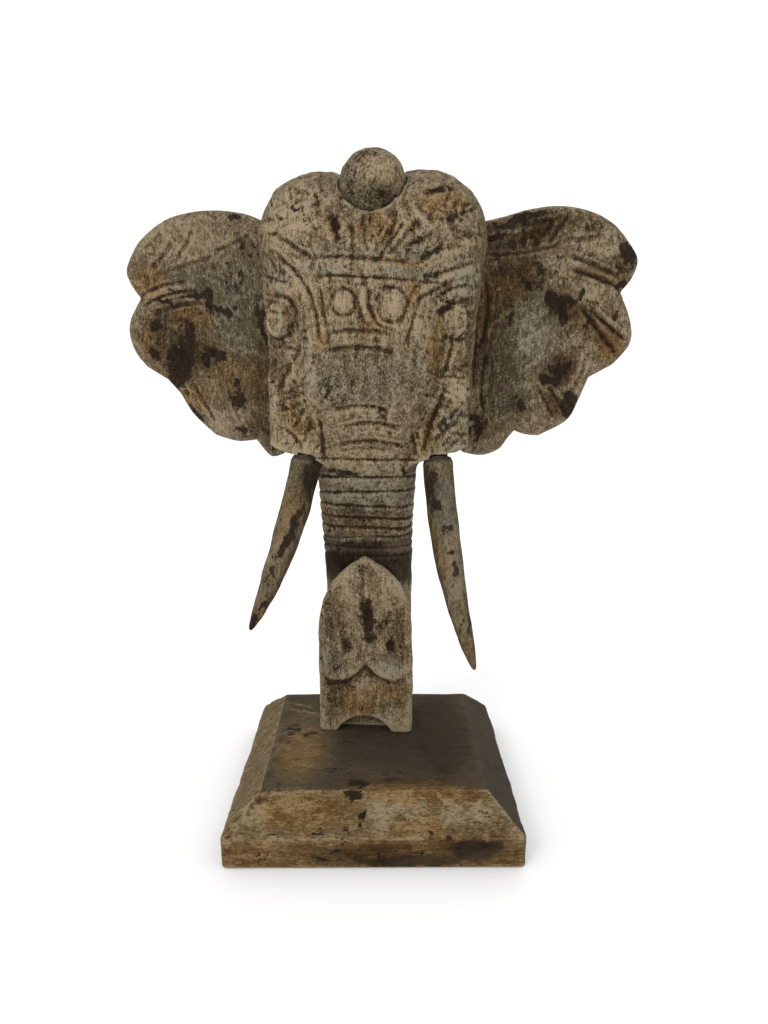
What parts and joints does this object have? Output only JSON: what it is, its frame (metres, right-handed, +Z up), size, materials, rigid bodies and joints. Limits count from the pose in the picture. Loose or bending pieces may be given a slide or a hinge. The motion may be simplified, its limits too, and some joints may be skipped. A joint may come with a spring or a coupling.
{
  "type": "carved elephant head statuette",
  "caption": "Carved wooden elephant head with spread ears, pull-out tusks, crown knob and upright trunk, fixed on a square bevelled plinth.",
  "frame": {"origin": "centre of the plinth's underside", "axes": "+Z up, the elephant faces -Y, its tusks spread along X"},
  "size_m": [0.3227, 0.17, 0.3911],
  "materials": {
    "plinth_wood": "weathered, limewashed, worn edges",
    "carved_wood": "weathered, limewashed, dark grime in the grooves",
    "tusk_wood": "smooth, worn, matt",
    "dowel_wood": "plain turned hardwood",
    "screw_steel": "zinc-plated"
  },
  "bodies": {
    "carving": {"plinth": "plinth_wood", "head_and_trunk": "carved_wood", "ear_left": "carved_wood", "ear_right": "carved_wood", "crown_knob": "carved_wood", "ear_dowel_left_upper": "dowel_wood", "ear_dowel_left_lower": "dowel_wood", "ear_dowel_right_upper": "dowel_wood", "ear_dowel_right_lower": "dowel_wood", "plinth_screw_left": "screw_steel", "plinth_screw_right": "screw_steel"},
    "left_tusk": {"tusk_left": "tusk_wood"},
    "right_tusk": {"tusk_right": "tusk_wood"}
  },
  "joints": [
    {"name": "left_tusk_pull", "type": "slide", "parent": "carving", "child": "left_tusk", "axis": [-0.1702, -0.3493, -0.9214], "range_m": [0, 0.03]},
    {"name": "right_tusk_pull", "type": "slide", "parent": "carving", "child": "right_tusk", "axis": [0.031, -0.3429, -0.9389], "range_m": [0, 0.03]}
  ]
}
